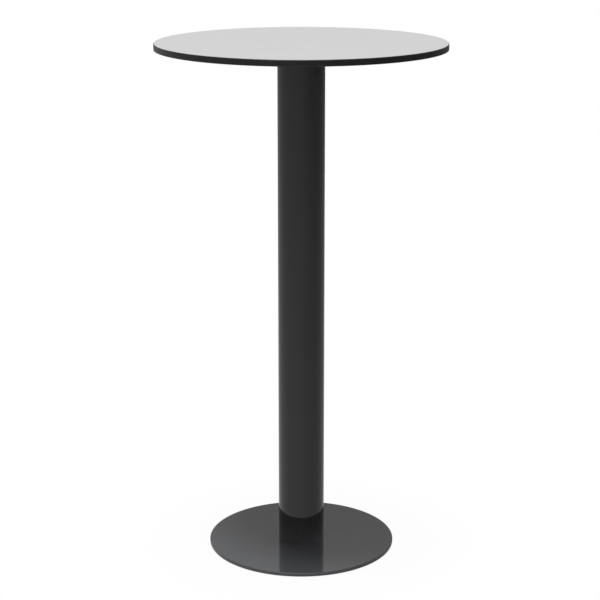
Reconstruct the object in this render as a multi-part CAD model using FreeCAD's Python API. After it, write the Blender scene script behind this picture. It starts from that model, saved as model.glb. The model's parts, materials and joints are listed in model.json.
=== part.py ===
"""Bar-height pedestal table: a round compact-laminate top on a steel tube column and a flat disc base.

Millimetres, +Z up. The origin is on the floor, under the column's axis.
From the floor up, the stack is: levelling feet, base plate, column, spider hub, table top.
The column is closed by a plate welded into each end. The base plate is screwed to the lower one from
below, and the spider's hub to the upper one from above. Pressed arms on the hub carry the top.
"""

import FreeCAD
import Part
import math
import os

from FreeCAD import Vector

# Overall sizes
TABLE_HEIGHT = 1090.0
TOP_DIAMETER = 600.0
COLUMN_DIAMETER = 98.0
BASE_DIAMETER = 400.0

# Table top: a black pressed-paper core with a pale decor sheet bonded to each face
TOP_THICKNESS = 13.0
DECOR_THICKNESS = 0.2
TOP_EDGE_CHAMFER = 1.0

# Threaded inserts in the underside of the top
INSERT_DIAMETER = 9.0
INSERT_ROOF = 3.0
INSERT_END_GAP = 0.5
INSERT_LEAD_CHAMFER = 0.6

# Spider: a hub disc and pressed channel arms, each with two radial slots
HUB_DIAMETER = 132.0
HUB_THICKNESS = 6.0
ARM_COUNT = 4
ARM_REACH = 205.0
ARM_WIDTH = 38.0
ARM_SHEET = 3.0
ARM_BEND_RADIUS = 4.5
ARM_ROOT_DEPTH = 24.0
ARM_TIP_DEPTH = 9.0
ARM_COLUMN_GAP = 0.8
ARM_INNER_FIXING_RADIUS = 108.0
ARM_SLOT_WIDTH = 7.0
ARM_SLOT_LENGTH = 13.0

# Screws and washers that hold the top to the arms
TOP_SCREW_DIAMETER = 6.0
TOP_SCREW_HEAD_DIAMETER = 12.0
TOP_SCREW_HEAD_HEIGHT = 4.0
TOP_SCREW_HEAD_ROUND = 1.6
TOP_SCREW_SOCKET = 4.0
TOP_SCREW_SOCKET_DEPTH = 2.4
TOP_SCREW_TIP_GAP = 1.0
WASHER_DIAMETER = 18.0
WASHER_HOLE = 6.4
WASHER_THICKNESS = 1.6

# Column tube and the plates welded into its ends
COLUMN_WALL = 2.0
COLUMN_END_BREAK = 0.4
HEAD_PLATE_THICKNESS = 8.0
FOOT_PLATE_THICKNESS = 10.0
END_PLATE_CLEARANCE = 0.1

# Countersunk screws that join the hub and the base plate to the column
COLUMN_SCREW_COUNT = 4
COLUMN_SCREW_CIRCLE = 62.0
COLUMN_SCREW_DIAMETER = 8.0
COLUMN_SCREW_HEAD_DIAMETER = 16.0
COLUMN_SCREW_HOLE = 9.0
COLUMN_SCREW_SOCKET = 5.0
COLUMN_SCREW_SOCKET_DEPTH = 3.0
COLUMN_SCREW_TIP_GAP = 1.0
COUNTERSINK_CLEARANCE = 0.2

# Base plate
BASE_THICKNESS = 8.0
BASE_RIM_RADIUS = 2.0

# Levelling feet: a steel stud in a blind tapped hole, and a round pad that is turned by hand
FOOT_COUNT = 4
FOOT_CIRCLE = 340.0
FOOT_HOLE_ROOF = 1.5
FOOT_STUD_DIAMETER = 8.0
FOOT_STUD_END_GAP = 0.5
FOOT_STUD_HEAD_DIAMETER = 16.0
FOOT_STUD_HEAD_HEIGHT = 1.4
FOOT_PAD_DIAMETER = 30.0
FOOT_PAD_THICKNESS = 3.0
FOOT_PAD_CHAMFER = 0.6
FOOT_GRIP_COUNT = 12
FOOT_GRIP_RADIUS = 2.4
FOOT_GRIP_DEPTH = 0.9

# Fits, the lead on every threaded end, and the overrun of every cut
THREAD_CLEARANCE = 0.05
SEAT_CLEARANCE = 0.1
THREAD_LEAD = 0.8
CUT_OVERRUN = 5.0

# Heights of the stack
base_bottom = FOOT_PAD_THICKNESS
base_top = base_bottom + BASE_THICKNESS
top_face = TABLE_HEIGHT
top_underside = top_face - TOP_THICKNESS
core_top = top_face - DECOR_THICKNESS
core_bottom = top_underside + DECOR_THICKNESS
hub_underside = top_underside - HUB_THICKNESS
arm_web_underside = top_underside - ARM_SHEET
screw_seat = arm_web_underside - WASHER_THICKNESS

# Radii and lengths that several pieces share
top_radius = TOP_DIAMETER / 2
decor_radius = top_radius - (TOP_EDGE_CHAMFER - DECOR_THICKNESS)
column_radius = COLUMN_DIAMETER / 2
column_bore_radius = column_radius - COLUMN_WALL
hub_radius = HUB_DIAMETER / 2
base_radius = BASE_DIAMETER / 2
insert_radius = INSERT_DIAMETER / 2
insert_hole_depth = TOP_THICKNESS - INSERT_ROOF
insert_length = insert_hole_depth - INSERT_END_GAP
top_screw_radius = TOP_SCREW_DIAMETER / 2
column_screw_radius = COLUMN_SCREW_DIAMETER / 2
column_screw_head_radius = COLUMN_SCREW_HEAD_DIAMETER / 2
column_screw_hole_radius = COLUMN_SCREW_HOLE / 2
foot_stud_radius = FOOT_STUD_DIAMETER / 2
foot_hole_depth = BASE_THICKNESS - FOOT_HOLE_ROOF
stud_head_bottom = base_bottom - FOOT_STUD_HEAD_HEIGHT
arm_half_width = ARM_WIDTH / 2
arm_tip_centre = ARM_REACH - arm_half_width

ORIGIN = Vector()
UP = Vector(0, 0, 1)
FULL_TURN = 360.0
HEXAGON_SIDES = 6
FACING_UP = 1
FACING_DOWN = -1


def around(count, start_share=0.5):
    """Angles in degrees of an even pattern about the column's axis, set off by a share of one step."""
    step = FULL_TURN / count
    return [step * (i + start_share) for i in range(count)]


def polar(radius, angle, height=0.0):
    turn = math.radians(angle)
    return Vector(radius * math.cos(turn), radius * math.sin(turn), height)


def turned(outline):
    """A solid of revolution about Z, from an outline of (radius, height) points."""
    corners = [Vector(radius, 0, height) for radius, height in outline]
    face = Part.Face(Part.makePolygon(corners + corners[:1]))
    solid = face.revolve(ORIGIN, UP, FULL_TURN)
    if solid.Volume < 0:
        solid.reverse()
    return solid


def disc(radius, bottom, top):
    return Part.makeCylinder(radius, top - bottom, Vector(0, 0, bottom))


def prism(wire, height):
    """A closed flat wire drawn straight up, or down where the height is negative."""
    return Part.Face(wire).extrude(Vector(0, 0, height))


def hexagon(across_flats, bottom, top):
    """An upright hexagonal prism about Z, as a socket's recess."""
    corner_radius = across_flats / 2 / math.cos(math.pi / HEXAGON_SIDES)
    corners = [polar(corner_radius, angle, bottom) for angle in around(HEXAGON_SIDES, 0)]
    return prism(Part.makePolygon(corners + corners[:1]), top - bottom)


def copies(shape, places):
    return [shape.translated(place) for place in places]


def bolt_circle(diameter, count):
    return [polar(diameter / 2, angle) for angle in around(count)]


def edges_at_height(shape, height):
    """The edges that lie flat at one height."""
    tolerance = Part.Precision.confusion()
    return [
        edge
        for edge in shape.Edges
        if abs(edge.BoundBox.ZMin - height) <= tolerance and abs(edge.BoundBox.ZMax - height) <= tolerance
    ]


column_screw_places = bolt_circle(COLUMN_SCREW_CIRCLE, COLUMN_SCREW_COUNT)
foot_places = bolt_circle(FOOT_CIRCLE, FOOT_COUNT)
arm_angles = around(ARM_COUNT)
fixing_places = [
    polar(radius, angle) for angle in arm_angles for radius in (ARM_INNER_FIXING_RADIUS, arm_tip_centre)
]


# Table top


def insert_holes():
    """Blind holes for the inserts, open through the underside."""
    hole = disc(
        insert_radius + THREAD_CLEARANCE,
        top_underside - CUT_OVERRUN,
        top_underside + insert_hole_depth,
    )
    return copies(hole, fixing_places)


def make_top_core():
    """The black core. Its edge has the outer part of the chamfer that also crosses the decor sheets."""
    outline = [
        (0, core_bottom),
        (decor_radius, core_bottom),
        (top_radius, top_underside + TOP_EDGE_CHAMFER),
        (top_radius, top_face - TOP_EDGE_CHAMFER),
        (decor_radius, core_top),
        (0, core_top),
    ]
    return turned(outline).cut(insert_holes())


def make_top_face_decor():
    outline = [
        (0, core_top),
        (decor_radius, core_top),
        (decor_radius - DECOR_THICKNESS, top_face),
        (0, top_face),
    ]
    return turned(outline)


def make_top_back_decor():
    outline = [
        (0, top_underside),
        (decor_radius - DECOR_THICKNESS, top_underside),
        (decor_radius, core_bottom),
        (0, core_bottom),
    ]
    return turned(outline).cut(insert_holes())


def make_top_inserts():
    bore_radius = top_screw_radius + THREAD_CLEARANCE
    insert_top = top_underside + insert_length
    outline = [
        (bore_radius, top_underside),
        (insert_radius, top_underside),
        (insert_radius, insert_top - INSERT_LEAD_CHAMFER),
        (insert_radius - INSERT_LEAD_CHAMFER, insert_top),
        (bore_radius, insert_top),
    ]
    return Part.makeCompound(copies(turned(outline), fixing_places))


# Spider under the top


def countersink(face, side):
    """The cutter for a countersunk hole in a face that looks up or down."""
    head_radius = column_screw_head_radius + COUNTERSINK_CLEARANCE
    cone_depth = head_radius - column_screw_hole_radius
    plate_depth = max(HUB_THICKNESS, BASE_THICKNESS)
    outline = [
        (0, face + side * CUT_OVERRUN),
        (head_radius, face + side * CUT_OVERRUN),
        (head_radius, face),
        (column_screw_hole_radius, face - side * cone_depth),
        (column_screw_hole_radius, face - side * (plate_depth + CUT_OVERRUN)),
        (0, face - side * (plate_depth + CUT_OVERRUN)),
    ]
    return turned(outline)


def make_spider_hub():
    hub = disc(hub_radius, hub_underside, top_underside)
    return hub.cut(copies(countersink(top_underside, FACING_UP), column_screw_places))


def arm_plan(half_width, height):
    """An arm's plan outline along +X: straight sides from the column's axis to a half-round tip."""
    near_right = Vector(0, -half_width, height)
    far_right = Vector(arm_tip_centre, -half_width, height)
    tip = Vector(arm_tip_centre + half_width, 0, height)
    far_left = Vector(arm_tip_centre, half_width, height)
    near_left = Vector(0, half_width, height)
    return Part.Wire(
        [
            Part.LineSegment(near_right, far_right).toShape(),
            Part.Arc(far_right, tip, far_left).toShape(),
            Part.LineSegment(far_left, near_left).toShape(),
            Part.LineSegment(near_left, near_right).toShape(),
        ]
    )


def pressed_block(half_width, top, bend_radius):
    """The arm's plan drawn down to the root's depth, with its upper edge rolled over."""
    block = prism(arm_plan(half_width, top), -ARM_ROOT_DEPTH)
    return block.makeFillet(bend_radius, edges_at_height(block, top))


def slot_cutter(radius):
    """A radial slot through an arm's web, at a distance from the column's axis."""
    half_straight = (ARM_SLOT_LENGTH - ARM_SLOT_WIDTH) / 2
    half_width = ARM_SLOT_WIDTH / 2
    bottom = arm_web_underside - CUT_OVERRUN
    top = top_underside + CUT_OVERRUN
    end_places = [Vector(radius - half_straight, 0, 0), Vector(radius + half_straight, 0, 0)]
    ends = copies(disc(half_width, bottom, top), end_places)
    middle = Part.makeBox(
        2 * half_straight,
        ARM_SLOT_WIDTH,
        top - bottom,
        Vector(radius - half_straight, -half_width, bottom),
    )
    return middle.fuse(ends).removeSplitter()


def arm_taper():
    """The wedge under an arm's sloping lower edge, from the column's wall out past the tip."""
    floor = top_underside - ARM_ROOT_DEPTH - CUT_OVERRUN
    slope = (ARM_ROOT_DEPTH - ARM_TIP_DEPTH) / (ARM_REACH - column_radius)
    end = ARM_REACH + CUT_OVERRUN
    corners = [
        Vector(column_radius, -ARM_WIDTH, top_underside - ARM_ROOT_DEPTH),
        Vector(end, -ARM_WIDTH, top_underside - ARM_TIP_DEPTH + slope * CUT_OVERRUN),
        Vector(end, -ARM_WIDTH, floor),
        Vector(column_radius, -ARM_WIDTH, floor),
    ]
    return Part.Face(Part.makePolygon(corners + corners[:1])).extrude(Vector(0, 2 * ARM_WIDTH, 0))


def make_spider_arm():
    """One arm along +X, a channel of pressed sheet. Its web meets the hub's rim, its sides run below it."""
    outside = pressed_block(arm_half_width, top_underside, ARM_BEND_RADIUS)
    inside = pressed_block(arm_half_width - ARM_SHEET, arm_web_underside, ARM_BEND_RADIUS - ARM_SHEET)
    column_room = disc(
        column_radius + ARM_COLUMN_GAP,
        top_underside - ARM_ROOT_DEPTH - CUT_OVERRUN,
        top_underside + CUT_OVERRUN,
    )
    hub_room = disc(hub_radius, hub_underside, top_underside + CUT_OVERRUN)
    slots = [slot_cutter(radius) for radius in (ARM_INNER_FIXING_RADIUS, arm_tip_centre)]
    return outside.cut([inside, arm_taper(), column_room, hub_room] + slots)


def make_spider_washers():
    washer = disc(WASHER_DIAMETER / 2, screw_seat, arm_web_underside)
    hole = disc(WASHER_HOLE / 2, screw_seat - CUT_OVERRUN, arm_web_underside + CUT_OVERRUN)
    return Part.makeCompound(copies(washer.cut(hole), fixing_places))


def make_spider_screws():
    """Button-head screws, driven up through the arms into the inserts."""
    tip = top_underside + insert_length - TOP_SCREW_TIP_GAP
    head_bottom = screw_seat - TOP_SCREW_HEAD_HEIGHT
    head = disc(TOP_SCREW_HEAD_DIAMETER / 2, head_bottom, screw_seat)
    head = head.makeFillet(TOP_SCREW_HEAD_ROUND, edges_at_height(head, head_bottom))
    shank = turned(
        [
            (0, screw_seat),
            (top_screw_radius, screw_seat),
            (top_screw_radius, tip - THREAD_LEAD),
            (top_screw_radius - THREAD_LEAD, tip),
            (0, tip),
        ]
    )
    socket = hexagon(TOP_SCREW_SOCKET, head_bottom - CUT_OVERRUN, head_bottom + TOP_SCREW_SOCKET_DEPTH)
    screw = head.fuse(shank).cut(socket).removeSplitter()
    return Part.makeCompound(copies(screw, fixing_places))


# Column


def make_column_tube():
    outline = [
        (column_bore_radius, base_top),
        (column_radius - COLUMN_END_BREAK, base_top),
        (column_radius, base_top + COLUMN_END_BREAK),
        (column_radius, hub_underside - COLUMN_END_BREAK),
        (column_radius - COLUMN_END_BREAK, hub_underside),
        (column_bore_radius, hub_underside),
    ]
    return turned(outline)


def column_end_plate(bottom, top):
    """A plate that closes one end of the tube, with a tapped hole for each column screw."""
    plate = disc(column_bore_radius - END_PLATE_CLEARANCE, bottom, top)
    tapped_hole = disc(column_screw_radius + THREAD_CLEARANCE, bottom - CUT_OVERRUN, top + CUT_OVERRUN)
    return plate.cut(copies(tapped_hole, column_screw_places))


def make_column_head_plate():
    return column_end_plate(hub_underside - HEAD_PLATE_THICKNESS, hub_underside)


def make_column_foot_plate():
    return column_end_plate(base_top, base_top + FOOT_PLATE_THICKNESS)


def column_screws(face, side, length):
    """Countersunk screws whose heads lie flush in a face that looks up or down."""
    tip = face - side * length
    outline = [
        (0, face),
        (column_screw_head_radius, face),
        (column_screw_radius, face - side * (column_screw_head_radius - column_screw_radius)),
        (column_screw_radius, tip + side * THREAD_LEAD),
        (column_screw_radius - THREAD_LEAD, tip),
        (0, tip),
    ]
    socket_floor = face - side * COLUMN_SCREW_SOCKET_DEPTH
    socket = hexagon(COLUMN_SCREW_SOCKET, socket_floor, face + side * CUT_OVERRUN)
    return Part.makeCompound(copies(turned(outline).cut(socket), column_screw_places))


def make_head_screws():
    length = HUB_THICKNESS + HEAD_PLATE_THICKNESS - COLUMN_SCREW_TIP_GAP
    return column_screws(top_underside, FACING_UP, length)


def make_base_screws():
    length = BASE_THICKNESS + FOOT_PLATE_THICKNESS - COLUMN_SCREW_TIP_GAP
    return column_screws(base_bottom, FACING_DOWN, length)


# Base and its levelling feet


def make_base_plate():
    plate = disc(base_radius, base_bottom, base_top)
    rim = edges_at_height(plate, base_bottom) + edges_at_height(plate, base_top)
    foot_hole = disc(
        foot_stud_radius + THREAD_CLEARANCE,
        base_bottom - CUT_OVERRUN,
        base_bottom + foot_hole_depth,
    )
    countersinks = copies(countersink(base_bottom, FACING_DOWN), column_screw_places)
    return plate.makeFillet(BASE_RIM_RADIUS, rim).cut(countersinks + copies(foot_hole, foot_places))


def make_foot_stud():
    """A stud whose flat head is bedded in the pad, on the column's axis."""
    tip = base_bottom + foot_hole_depth - FOOT_STUD_END_GAP
    head_radius = FOOT_STUD_HEAD_DIAMETER / 2
    outline = [
        (0, stud_head_bottom),
        (head_radius, stud_head_bottom),
        (head_radius, base_bottom),
        (foot_stud_radius, base_bottom),
        (foot_stud_radius, tip - THREAD_LEAD),
        (foot_stud_radius - THREAD_LEAD, tip),
        (0, tip),
    ]
    return turned(outline)


def make_foot_pad():
    """A round pad with finger grips cut round its rim, on the column's axis."""
    pad_radius = FOOT_PAD_DIAMETER / 2
    recess_radius = FOOT_STUD_HEAD_DIAMETER / 2 + SEAT_CLEARANCE
    outline = [
        (0, 0),
        (pad_radius - FOOT_PAD_CHAMFER, 0),
        (pad_radius, FOOT_PAD_CHAMFER),
        (pad_radius, base_bottom),
        (recess_radius, base_bottom),
        (recess_radius, stud_head_bottom),
        (0, stud_head_bottom),
    ]
    grip = disc(FOOT_GRIP_RADIUS, -CUT_OVERRUN, base_bottom + CUT_OVERRUN)
    grip_circle_radius = pad_radius + FOOT_GRIP_RADIUS - FOOT_GRIP_DEPTH
    grips = copies(grip, [polar(grip_circle_radius, angle) for angle in around(FOOT_GRIP_COUNT)])
    return turned(outline).cut(grips)


# Assembly: one file for each named piece


def make_parts():
    parts = {
        "top_core": make_top_core(),
        "top_face_decor": make_top_face_decor(),
        "top_back_decor": make_top_back_decor(),
        "top_inserts": make_top_inserts(),
        "spider_hub": make_spider_hub(),
        "spider_washers": make_spider_washers(),
        "spider_screws": make_spider_screws(),
        "head_screws": make_head_screws(),
        "column_head_plate": make_column_head_plate(),
        "column_tube": make_column_tube(),
        "column_foot_plate": make_column_foot_plate(),
        "base_plate": make_base_plate(),
        "base_screws": make_base_screws(),
    }
    arm = make_spider_arm()
    for number, angle in enumerate(arm_angles, start=1):
        parts[f"spider_arm_{number}"] = arm.rotated(ORIGIN, UP, angle)
    stud = make_foot_stud()
    pad = make_foot_pad()
    for number, place in enumerate(foot_places, start=1):
        parts[f"foot_stud_{number}"] = stud.translated(place)
        parts[f"foot_pad_{number}"] = pad.translated(place)
    return parts


def main():
    os.makedirs("parts", exist_ok=True)
    for name, shape in make_parts().items():
        shape.exportStep(f"parts/{name}.step")


if __name__ == "__main__":
    main()
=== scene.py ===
"""Looks of a bar-height pedestal table: a pale laminate top with a black edge, on a black column and base.

Metres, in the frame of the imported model. Each piece takes its place from the node that it stands for.
Round pieces are outlines swept round the column's axis, and fixings are copies set in a ring round it.
"""

import json
import math

import bpy
from mathutils import Matrix, Vector


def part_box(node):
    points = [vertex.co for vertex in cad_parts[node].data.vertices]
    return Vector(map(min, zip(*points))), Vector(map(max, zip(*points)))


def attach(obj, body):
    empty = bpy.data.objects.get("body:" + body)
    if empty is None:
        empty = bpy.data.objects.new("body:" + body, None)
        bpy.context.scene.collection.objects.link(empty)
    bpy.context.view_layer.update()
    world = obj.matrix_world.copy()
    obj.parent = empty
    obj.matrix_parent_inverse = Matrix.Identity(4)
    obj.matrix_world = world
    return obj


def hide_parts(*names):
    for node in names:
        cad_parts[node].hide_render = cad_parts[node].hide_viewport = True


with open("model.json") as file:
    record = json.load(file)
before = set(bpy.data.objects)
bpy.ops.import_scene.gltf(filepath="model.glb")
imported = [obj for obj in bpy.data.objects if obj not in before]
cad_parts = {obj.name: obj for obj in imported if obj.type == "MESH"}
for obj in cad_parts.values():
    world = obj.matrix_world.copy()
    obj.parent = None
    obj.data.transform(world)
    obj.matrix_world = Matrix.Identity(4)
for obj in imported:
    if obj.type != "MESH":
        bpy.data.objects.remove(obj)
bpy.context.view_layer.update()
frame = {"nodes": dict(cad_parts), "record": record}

MM = 0.001

# Edges as the eye sees them: the small rounds that cutting, sanding and paint leave
DECOR_EDGE_ROUND = 0.12 * MM
CORE_EDGE_ROUND = 0.35 * MM
CORE_UNDER_BREAK = 0.25 * MM
COLUMN_END_ROUND = 0.1 * MM
BASE_RIM_ROUND = 2.0 * MM
FIXING_EDGE_ROUND = 0.3 * MM
PAD_EDGE_ROUND = 0.5 * MM

# Column tube, and the chamfer on its ends
COLUMN_WALL = 2.0 * MM
COLUMN_END_BREAK = 0.15 * MM

# Button-head screws and washers under the arms
TOP_FIXING_SPOKES = 4
TOP_FIXING_RADII = (108.0 * MM, 186.0 * MM)
WASHER_HOLE_RADIUS = 3.2 * MM
BUTTON_HEAD_RADIUS = 6.0 * MM
BUTTON_HEAD_HEIGHT = 4.0 * MM
BUTTON_DOME = 2.2 * MM
BUTTON_SOCKET = 4.0 * MM
BUTTON_SOCKET_DEPTH = 2.4 * MM
SCREW_RADIUS = 3.0 * MM

# Countersunk screws in the underside of the base
BASE_SCREW_COUNT = 4
BASE_SCREW_CIRCLE_RADIUS = 31.0 * MM
BASE_SCREW_HEAD_RADIUS = 8.0 * MM
BASE_SCREW_RADIUS = 4.0 * MM
BASE_SCREW_SOCKET = 5.0 * MM
BASE_SCREW_SOCKET_DEPTH = 3.0 * MM
COUNTERSINK_GAP = 0.2 * MM

# Levelling feet
FOOT_COUNT = 4
FOOT_CIRCLE_RADIUS = 170.0 * MM
STUD_HOLE_RADIUS = 4.05 * MM
STUD_HOLE_DEPTH = 6.5 * MM
STUD_HEAD_RADIUS = 8.0 * MM
STUD_HEAD_HEIGHT = 1.4 * MM
STUD_RADIUS = 4.0 * MM
STUD_PITCH = 1.25 * MM
STUD_THREAD_DEPTH = 0.68 * MM
STUD_LEAD = 0.8 * MM
PAD_GRIPS = 12
PAD_GRIP_DEPTH = 0.9 * MM
PAD_CHAMFER = 0.6 * MM
PAD_RECESS_GAP = 0.1 * MM

# Weld beads where the spider's arms meet its hub
ARM_HALF_WIDTH = 19.0 * MM
ARM_SHEET = 3.0 * MM
BEAD_RADIUS = 1.9 * MM
BEAD_STEP = 1.3 * MM
WELD_ARC_STEPS = 12

# How finely round pieces are cut, how near points are joined, and how far cutters stick out
TOP_SEGMENTS = 288
COLUMN_SEGMENTS = 160
BASE_SEGMENTS = 288
SMALL_SEGMENTS = 60
PAD_SEGMENTS = 240
ROUND_STEPS = 7
SUPPORT_MARGIN = 0.15 * MM
WELD_DISTANCE = 0.004 * MM
CUT_OVERRUN = 1.0 * MM

# An outline is swept along a circle of this radius, so its points are written from there
SWEEP_RADIUS = 1.0


# Places read from the frame


def reach(name):
    """The radius of a node that is round about the column's axis."""
    low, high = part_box(name)
    return min(-low.x, -low.y, high.x, high.y)


def heights(name):
    low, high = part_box(name)
    return low.z, high.z


def centre(name):
    low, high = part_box(name)
    return (low + high) / 2


top_radius = reach("top_core")
core_bottom, core_top = heights("top_core")
top_underside = heights("top_back_decor")[0]
top_face = heights("top_face_decor")[1]
decor_radius = reach("top_face_decor")
column_radius = reach("column_tube")
column_bottom, column_top = heights("column_tube")
base_radius = reach("base_plate")
base_bottom, base_top = heights("base_plate")
hub_radius = reach("spider_hub")
hub_underside = heights("spider_hub")[0]
washer_bottom, washer_top = heights("spider_washers")
stud_bottom, stud_top = heights("foot_stud_1")
pad_bottom, pad_top = heights("foot_pad_1")
pad_radius = (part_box("foot_pad_1")[1].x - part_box("foot_pad_1")[0].x) / 2


# Node tree helpers


def plug(tree, socket, value):
    """Links a socket to another one, or sets its value."""
    if isinstance(value, bpy.types.NodeSocket):
        tree.links.new(value, socket)
    else:
        socket.default_value = value


def add(tree, kind, inputs=None, **settings):
    """Adds a node with its settings, and fills its inputs by name or number."""
    made = tree.nodes.new(kind)
    for name, value in settings.items():
        setattr(made, name, value)
    for key, value in (inputs or {}).items():
        plug(tree, made.inputs[key], value)
    return made


def output_of(tree, kind, output, inputs=None, **settings):
    """One output of a new node, by name or number."""
    return add(tree, kind, inputs, **settings).outputs[output]


# Sockets that share their name with others on the node, by number
MIX_LOW, MIX_HIGH, MIX_COLOUR = 6, 7, 2
RANDOM_LEAST, RANDOM_MOST, RANDOM_NUMBER = 2, 3, 1


def maths(operation):
    """A function that adds one Math node to a tree and gives its result."""

    def result(tree, *values):
        inputs = dict(enumerate(values))
        return output_of(tree, "ShaderNodeMath", "Value", inputs, operation=operation)

    return result


plus = maths("ADD")
minus = maths("SUBTRACT")
times = maths("MULTIPLY")
times_plus = maths("MULTIPLY_ADD")
over = maths("DIVIDE")
remainder = maths("MODULO")
whole = maths("FLOOR")
absolute = maths("ABSOLUTE")
larger = maths("MAXIMUM")
is_above = maths("GREATER_THAN")
is_below = maths("LESS_THAN")
square_root = maths("SQRT")
power = maths("POWER")
sine = maths("SINE")
cosine = maths("COSINE")
turn_of = maths("ARCTAN2")


def ramp(tree, value, low, high, to_low=0.0, to_high=1.0, kind="SMOOTHSTEP"):
    """Takes a value from one range to another, and holds it at the ends."""
    inputs = {"Value": value, "From Min": low, "From Max": high, "To Min": to_low, "To Max": to_high}
    return output_of(tree, "ShaderNodeMapRange", "Result", inputs, interpolation_type=kind)


def vector_of(tree, **parts):
    """A vector from its X, Y and Z."""
    return output_of(tree, "ShaderNodeCombineXYZ", "Vector", parts)


def parts_of(tree, vector):
    """The X, Y and Z of a vector."""
    return add(tree, "ShaderNodeSeparateXYZ", {0: vector}).outputs


# Geometry trees

# Edges are sharp from this angle on, and faces whose normal is this upright stay flat
SHARP_ANGLE = math.radians(32)
LEVEL_NORMAL = 0.9999

# The first copy in a ring stands half a step round from X
RING_START_SHARE = 0.5
HEXAGON_SIDES = 6


def geometry_tree(name, sizes=(), counts=()):
    """An empty tree with named inputs for its lengths and counts, and one for its material."""
    tree = bpy.data.node_groups.new(name, "GeometryNodeTree")
    new_socket = tree.interface.new_socket
    new_socket("Geometry", in_out="INPUT", socket_type="NodeSocketGeometry")
    for size in sizes:
        new_socket(size, in_out="INPUT", socket_type="NodeSocketFloat")
    for count in counts:
        new_socket(count, in_out="INPUT", socket_type="NodeSocketInt")
    new_socket("Material", in_out="INPUT", socket_type="NodeSocketMaterial")
    new_socket("Geometry", in_out="OUTPUT", socket_type="NodeSocketGeometry")
    return tree, tree.nodes.new("NodeGroupInput").outputs


def close_tree(tree, geometry, given):
    """Shades round faces smooth and flat ones flat, then ends the tree."""
    edge_angle = output_of(tree, "GeometryNodeInputMeshEdgeAngle", "Unsigned Angle")
    sharp = is_above(tree, edge_angle, SHARP_ANGLE)
    normal = output_of(tree, "GeometryNodeInputNormal", "Normal")
    level = is_above(tree, absolute(tree, parts_of(tree, normal)["Z"]), LEVEL_NORMAL)
    for selection, smooth, domain in ((True, True, "FACE"), (sharp, False, "EDGE"), (level, False, "FACE")):
        inputs = {"Geometry": geometry, "Selection": selection, "Shade Smooth": smooth}
        geometry = output_of(tree, "GeometryNodeSetShadeSmooth", "Geometry", inputs, domain=domain)
    real = output_of(tree, "GeometryNodeRealizeInstances", "Geometry", {"Geometry": geometry})
    inputs = {"Geometry": real, "Material": given["Material"]}
    painted = output_of(tree, "GeometryNodeSetMaterial", "Geometry", inputs)
    add(tree, "NodeGroupOutput", {"Geometry": painted})
    return tree


def welded(tree, mesh):
    """Joins points that lie on each other."""
    inputs = {"Geometry": mesh, "Distance": WELD_DISTANCE}
    return output_of(tree, "GeometryNodeMergeByDistance", "Geometry", inputs)


def lifted(tree, shape, height):
    """A shape moved up."""
    inputs = {"Geometry": shape, "Translation": vector_of(tree, Z=height)}
    return output_of(tree, "GeometryNodeTransform", "Geometry", inputs)


def cut_away(tree, mesh, cutter):
    """A mesh with the space of another one taken out of it."""
    inputs = {"Mesh 1": mesh, "Mesh 2": cutter}
    settings = {"operation": "DIFFERENCE", "solver": "EXACT"}
    return welded(tree, output_of(tree, "GeometryNodeMeshBoolean", "Mesh", inputs, **settings))


def swept(tree, path, profile, **inputs):
    """A profile swept along a path, with the path's normals kept level."""
    upright = output_of(tree, "GeometryNodeSetCurveNormal", "Curve", {"Curve": path}, mode="Z_UP")
    inputs = {"Curve": upright, "Profile Curve": profile, **inputs}
    return output_of(tree, "GeometryNodeCurveToMesh", "Mesh", inputs)


def turned_tree():
    """Sweeps an outline round the column's axis, with each corner rounded by the size stored on it."""
    tree, given = geometry_tree("turned_outline", counts=("Segments", "Round Steps"))
    corner_round = output_of(tree, "GeometryNodeInputNamedAttribute", "Attribute", {"Name": "corner_round"})
    eased = output_of(
        tree,
        "GeometryNodeFilletCurve",
        "Curve",
        {
            "Curve": output_of(tree, "GeometryNodeMeshToCurve", "Curve", {"Mesh": given["Geometry"]}),
            "Radius": corner_round,
            "Count": given["Round Steps"],
            "Limit Radius": True,
        },
        mode="POLY",
    )
    inputs = {"Resolution": given["Segments"], "Radius": SWEEP_RADIUS}
    circle = output_of(tree, "GeometryNodeCurvePrimitiveCircle", "Curve", inputs)
    wall = welded(tree, swept(tree, circle, eased))
    outward = output_of(tree, "GeometryNodeFlipFaces", "Mesh", {"Mesh": wall})
    return close_tree(tree, outward, given)


def ring_of(tree, instance, count, radius, height=0.0, rows=1, row_step=0.0):
    """Copies of a shape in a ring, half a step round from X and turned with it. Rows go outwards."""
    index = output_of(tree, "GeometryNodeInputIndex", "Index")
    row = remainder(tree, index, rows)
    spoke = whole(tree, over(tree, index, rows))
    angle = times(tree, plus(tree, spoke, RING_START_SHARE), over(tree, math.tau, count))
    row_radius = times_plus(tree, row, row_step, radius)
    place = vector_of(
        tree,
        X=times(tree, row_radius, cosine(tree, angle)),
        Y=times(tree, row_radius, sine(tree, angle)),
        Z=height,
    )
    inputs = {"Count": times(tree, count, rows), "Position": place}
    points = output_of(tree, "GeometryNodePoints", "Points", inputs)
    inputs = {"Points": points, "Instance": instance, "Rotation": vector_of(tree, Z=angle)}
    return output_of(tree, "GeometryNodeInstanceOnPoints", "Instances", inputs)


def ring_tree():
    """Copies a fixing round the column's axis, in one row or more."""
    tree, given = geometry_tree("ring_of_copies", sizes=("Radius", "Row Step"), counts=("Count", "Rows"))
    rows = {"rows": given["Rows"], "row_step": given["Row Step"]}
    copies = ring_of(tree, given["Geometry"], given["Count"], given["Radius"], **rows)
    return close_tree(tree, copies, given)


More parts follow.
